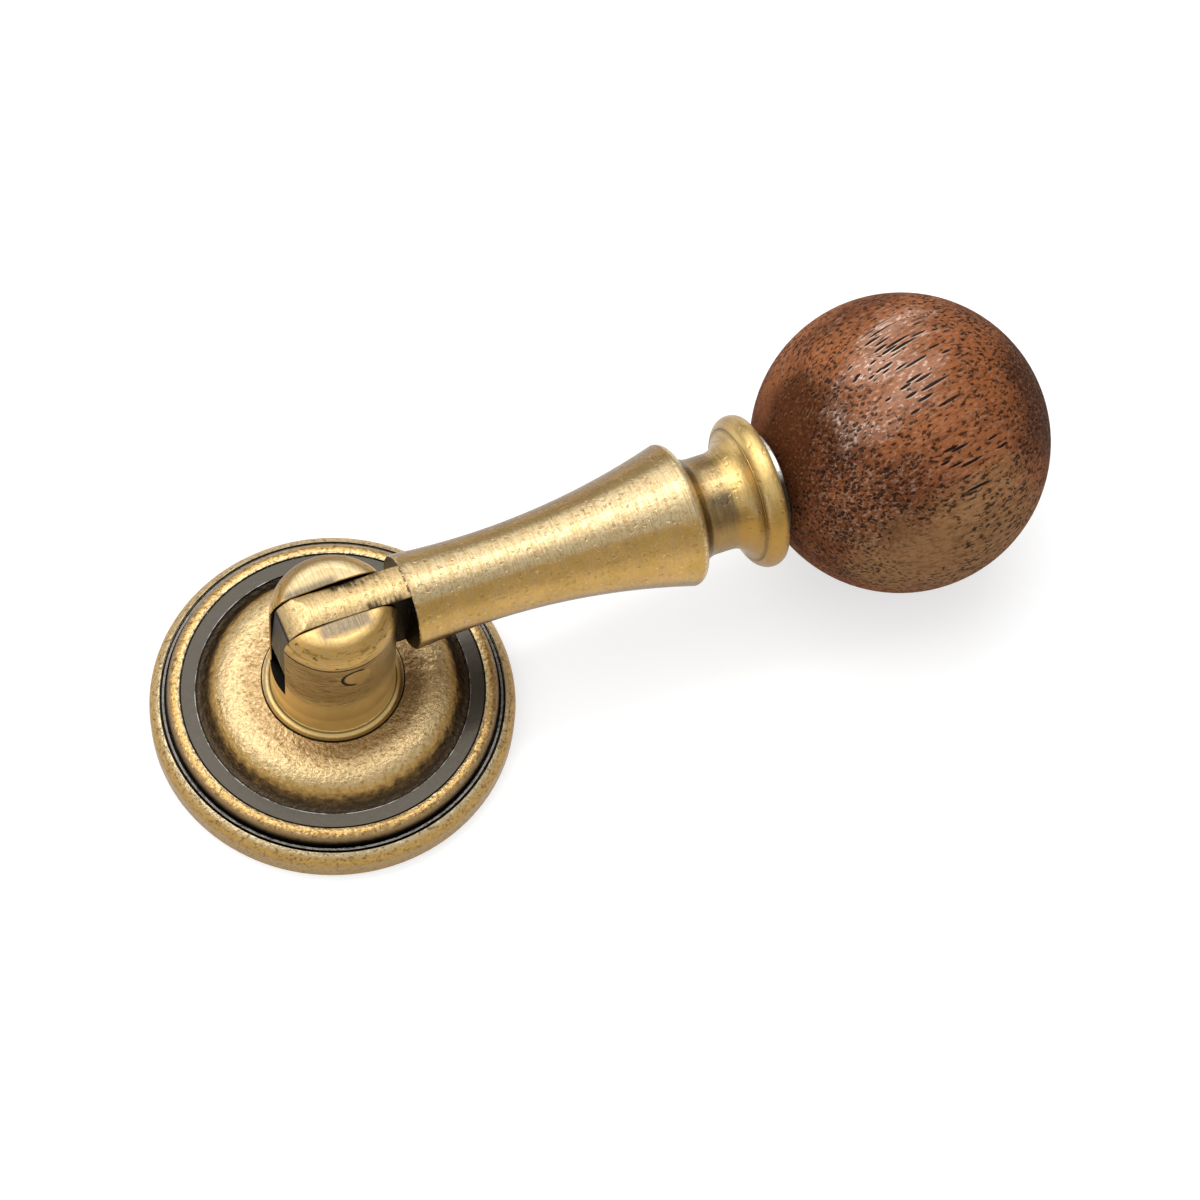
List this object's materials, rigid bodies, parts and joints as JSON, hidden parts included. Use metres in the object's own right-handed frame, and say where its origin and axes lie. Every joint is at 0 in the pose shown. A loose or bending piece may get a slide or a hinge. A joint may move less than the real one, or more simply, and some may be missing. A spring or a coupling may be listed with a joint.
{
  "type": "drop pull",
  "caption": "Brass drop pull for a drawer or cabinet door: a turned shank with a walnut ball swings on a pin in a slotted post on a round moulded rosette.",
  "frame": {"origin": "centre of the rosette's flat back, at the mouth of the threaded fixing hole, in the plane of the surface it is fixed to", "axes": "+Z out of the mounting surface along the post, +X along the shank towards the ball, Y along the pivot pin"},
  "size_m": [0.0776, 0.03, 0.0248],
  "materials": {
    "antique_brass": "brushed antique brass with dark patina in the grooves",
    "walnut": "satin clear finish",
    "stud_steel": "plain zinc-grey steel"
  },
  "bodies": {
    "base": {"rosette": "antique_brass", "post": "antique_brass", "pivot_pin": "antique_brass"},
    "drop": {"shank": "antique_brass", "ball": "walnut", "ball_stud": "stud_steel"}
  },
  "joints": [
    {"name": "drop_hinge", "type": "hinge", "parent": "base", "child": "drop", "pos_m": [0, 0, 0.0153], "axis": [0, -1, 0], "range_deg": [0, 186.5]}
  ]
}
